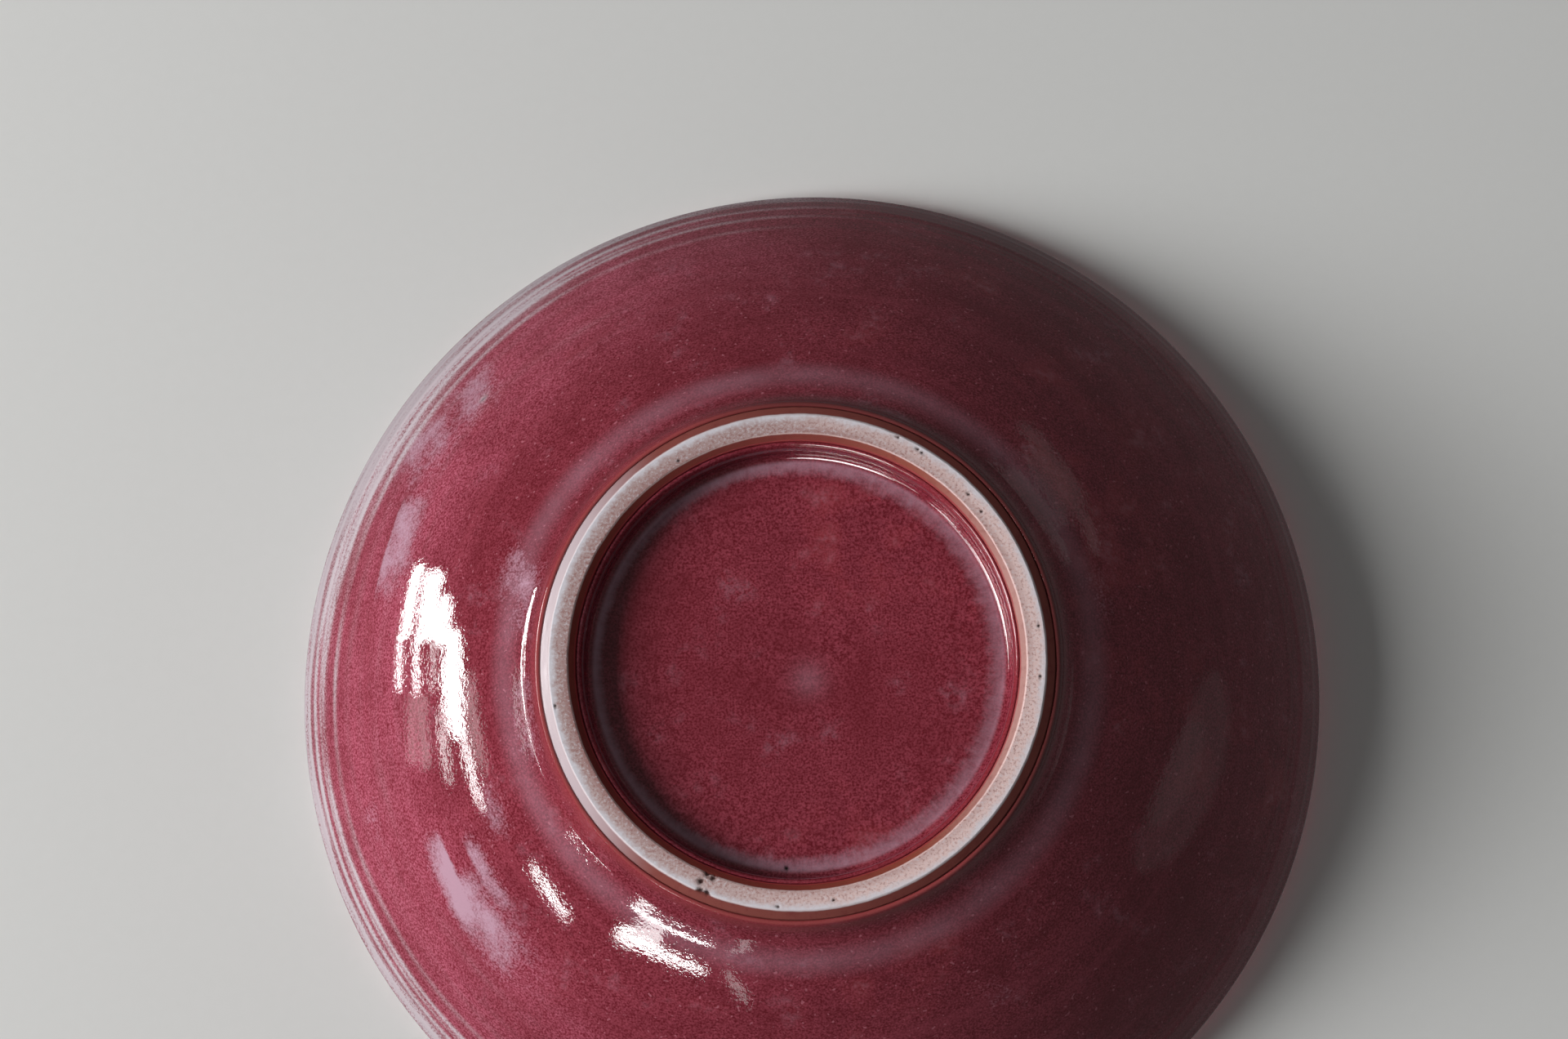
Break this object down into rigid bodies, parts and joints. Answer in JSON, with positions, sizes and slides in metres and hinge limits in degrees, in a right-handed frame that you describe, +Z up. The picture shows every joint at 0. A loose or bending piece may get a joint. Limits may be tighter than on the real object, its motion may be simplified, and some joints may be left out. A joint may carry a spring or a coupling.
{
  "type": "ramen bowl",
  "caption": "Wide stoneware ramen bowl on a turned foot ring, with glaze inside, outside and in the foot well and a bare standing face.",
  "frame": {"origin": "centre of the foot's standing face, on the axis of turning", "axes": "+Z up along the axis of turning, out of the bowl's mouth; X and Y level, the bowl being round"},
  "size_m": [0.2, 0.2, 0.064],
  "materials": {
    "bare_stoneware": "unglazed, fine grained",
    "outer_glaze": "high gloss copper red",
    "inner_glaze": "high gloss copper red",
    "well_glaze": "high gloss copper red"
  },
  "bodies": {
    "root": {"clay_body": "bare_stoneware", "outer_glaze": "outer_glaze", "inner_glaze": "inner_glaze", "well_glaze": "well_glaze"}
  },
  "joints": []
}
